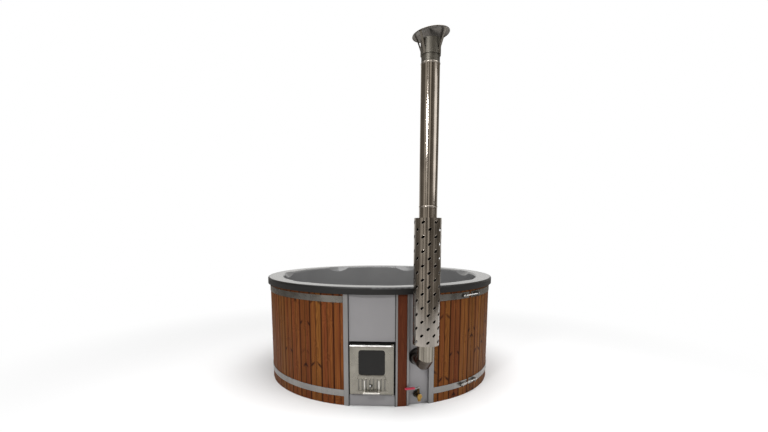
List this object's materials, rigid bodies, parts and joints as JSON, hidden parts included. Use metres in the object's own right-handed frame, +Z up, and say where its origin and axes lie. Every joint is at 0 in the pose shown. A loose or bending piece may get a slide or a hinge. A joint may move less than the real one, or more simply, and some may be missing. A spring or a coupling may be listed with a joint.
{
  "type": "wood-burning hot tub",
  "caption": "Round moulded hot tub in a hooped timber skirt, with a built-in wood stove behind a glazed door, a guarded outside flue with a rain cap, and a drain valve.",
  "frame": {"origin": "on the ground at the tub's axis", "axes": "+Z up, the stove door faces -Y, +X to its right"},
  "size_m": [1.9998, 2.1703, 2.5217],
  "materials": {
    "shell": "glossy moulded",
    "foam": "cut foam",
    "thermowood": "oiled",
    "timber": "sawn",
    "band": "satin",
    "fixings": "satin",
    "post": "satin",
    "panel": "satin grey",
    "stove_steel": "sooty",
    "jacket": "plain",
    "iron": "rough",
    "door_steel": "brushed",
    "seal_rope": "woven",
    "window": "smoked",
    "flue_steel": "polished",
    "drain_plastic": "plain",
    "brass": "satin",
    "lever_red": "coated"
  },
  "bodies": {
    "tub": {"inner_shell": "shell", "wall_insulation": "foam", "staves_right_front": "thermowood", "staves_right": "thermowood", "staves_right_back": "thermowood", "staves_left_back": "thermowood", "staves_left": "thermowood", "staves_left_front": "thermowood", "closing_stave": "thermowood", "slat_board": "thermowood", "upper_hoop": "band", "lower_hoop": "band", "hoop_lugs": "band", "draw_bolts": "fixings", "battens": "timber", "uprights": "timber", "base_beams": "timber", "base_deck": "timber", "left_post": "post", "door_post": "post", "flue_post": "post", "right_post": "post", "upper_panel": "panel", "lower_panel": "panel", "flue_panel": "panel", "stove_jacket": "jacket", "firebox": "stove_steel", "stove_legs": "stove_steel", "fire_grate": "iron", "ash_tray": "stove_steel", "water_pipes": "fixings", "door_frame": "stove_steel", "door_seal": "seal_rope", "hinge_tabs": "door_steel", "hinge_pins": "fixings", "flue_stub": "flue_steel", "flue_collar": "stove_steel", "flue_elbow": "flue_steel", "lower_flue_pipe": "flue_steel", "upper_flue_pipe": "flue_steel", "top_flue_pipe": "flue_steel", "rain_cap": "flue_steel", "cap_legs": "flue_steel", "heat_guard": "flue_steel", "guard_spacers": "flue_steel", "drain_fitting": "drain_plastic", "drain_pipe": "drain_plastic", "lock_nut": "drain_plastic", "valve_body": "brass"},
    "door": {"stove_door": "door_steel", "door_glass": "window", "glass_retainer": "stove_steel", "door_handle": "door_steel", "slide_guides": "door_steel"},
    "air_damper": {"air_slide": "door_steel", "air_knob": "fixings"},
    "drain_lever": {"valve_lever": "lever_red", "valve_ball": "brass", "lever_nut": "fixings"}
  },
  "joints": [
    {"name": "door_hinge", "type": "hinge", "parent": "tub", "child": "door", "pos_m": [0.153, -0.984, 0.2845], "axis": [0, 0, 1], "range_deg": [0, 110]},
    {"name": "air_slide", "type": "slide", "parent": "door", "child": "air_damper", "axis": [1, 0, 0], "range_m": [0, 0.0136]},
    {"name": "drain_lever", "type": "hinge", "parent": "tub", "child": "drain_lever", "pos_m": [0.3385, -0.94211, 0.084], "axis": [0, 0, 1], "range_deg": [0, 90]}
  ]
}
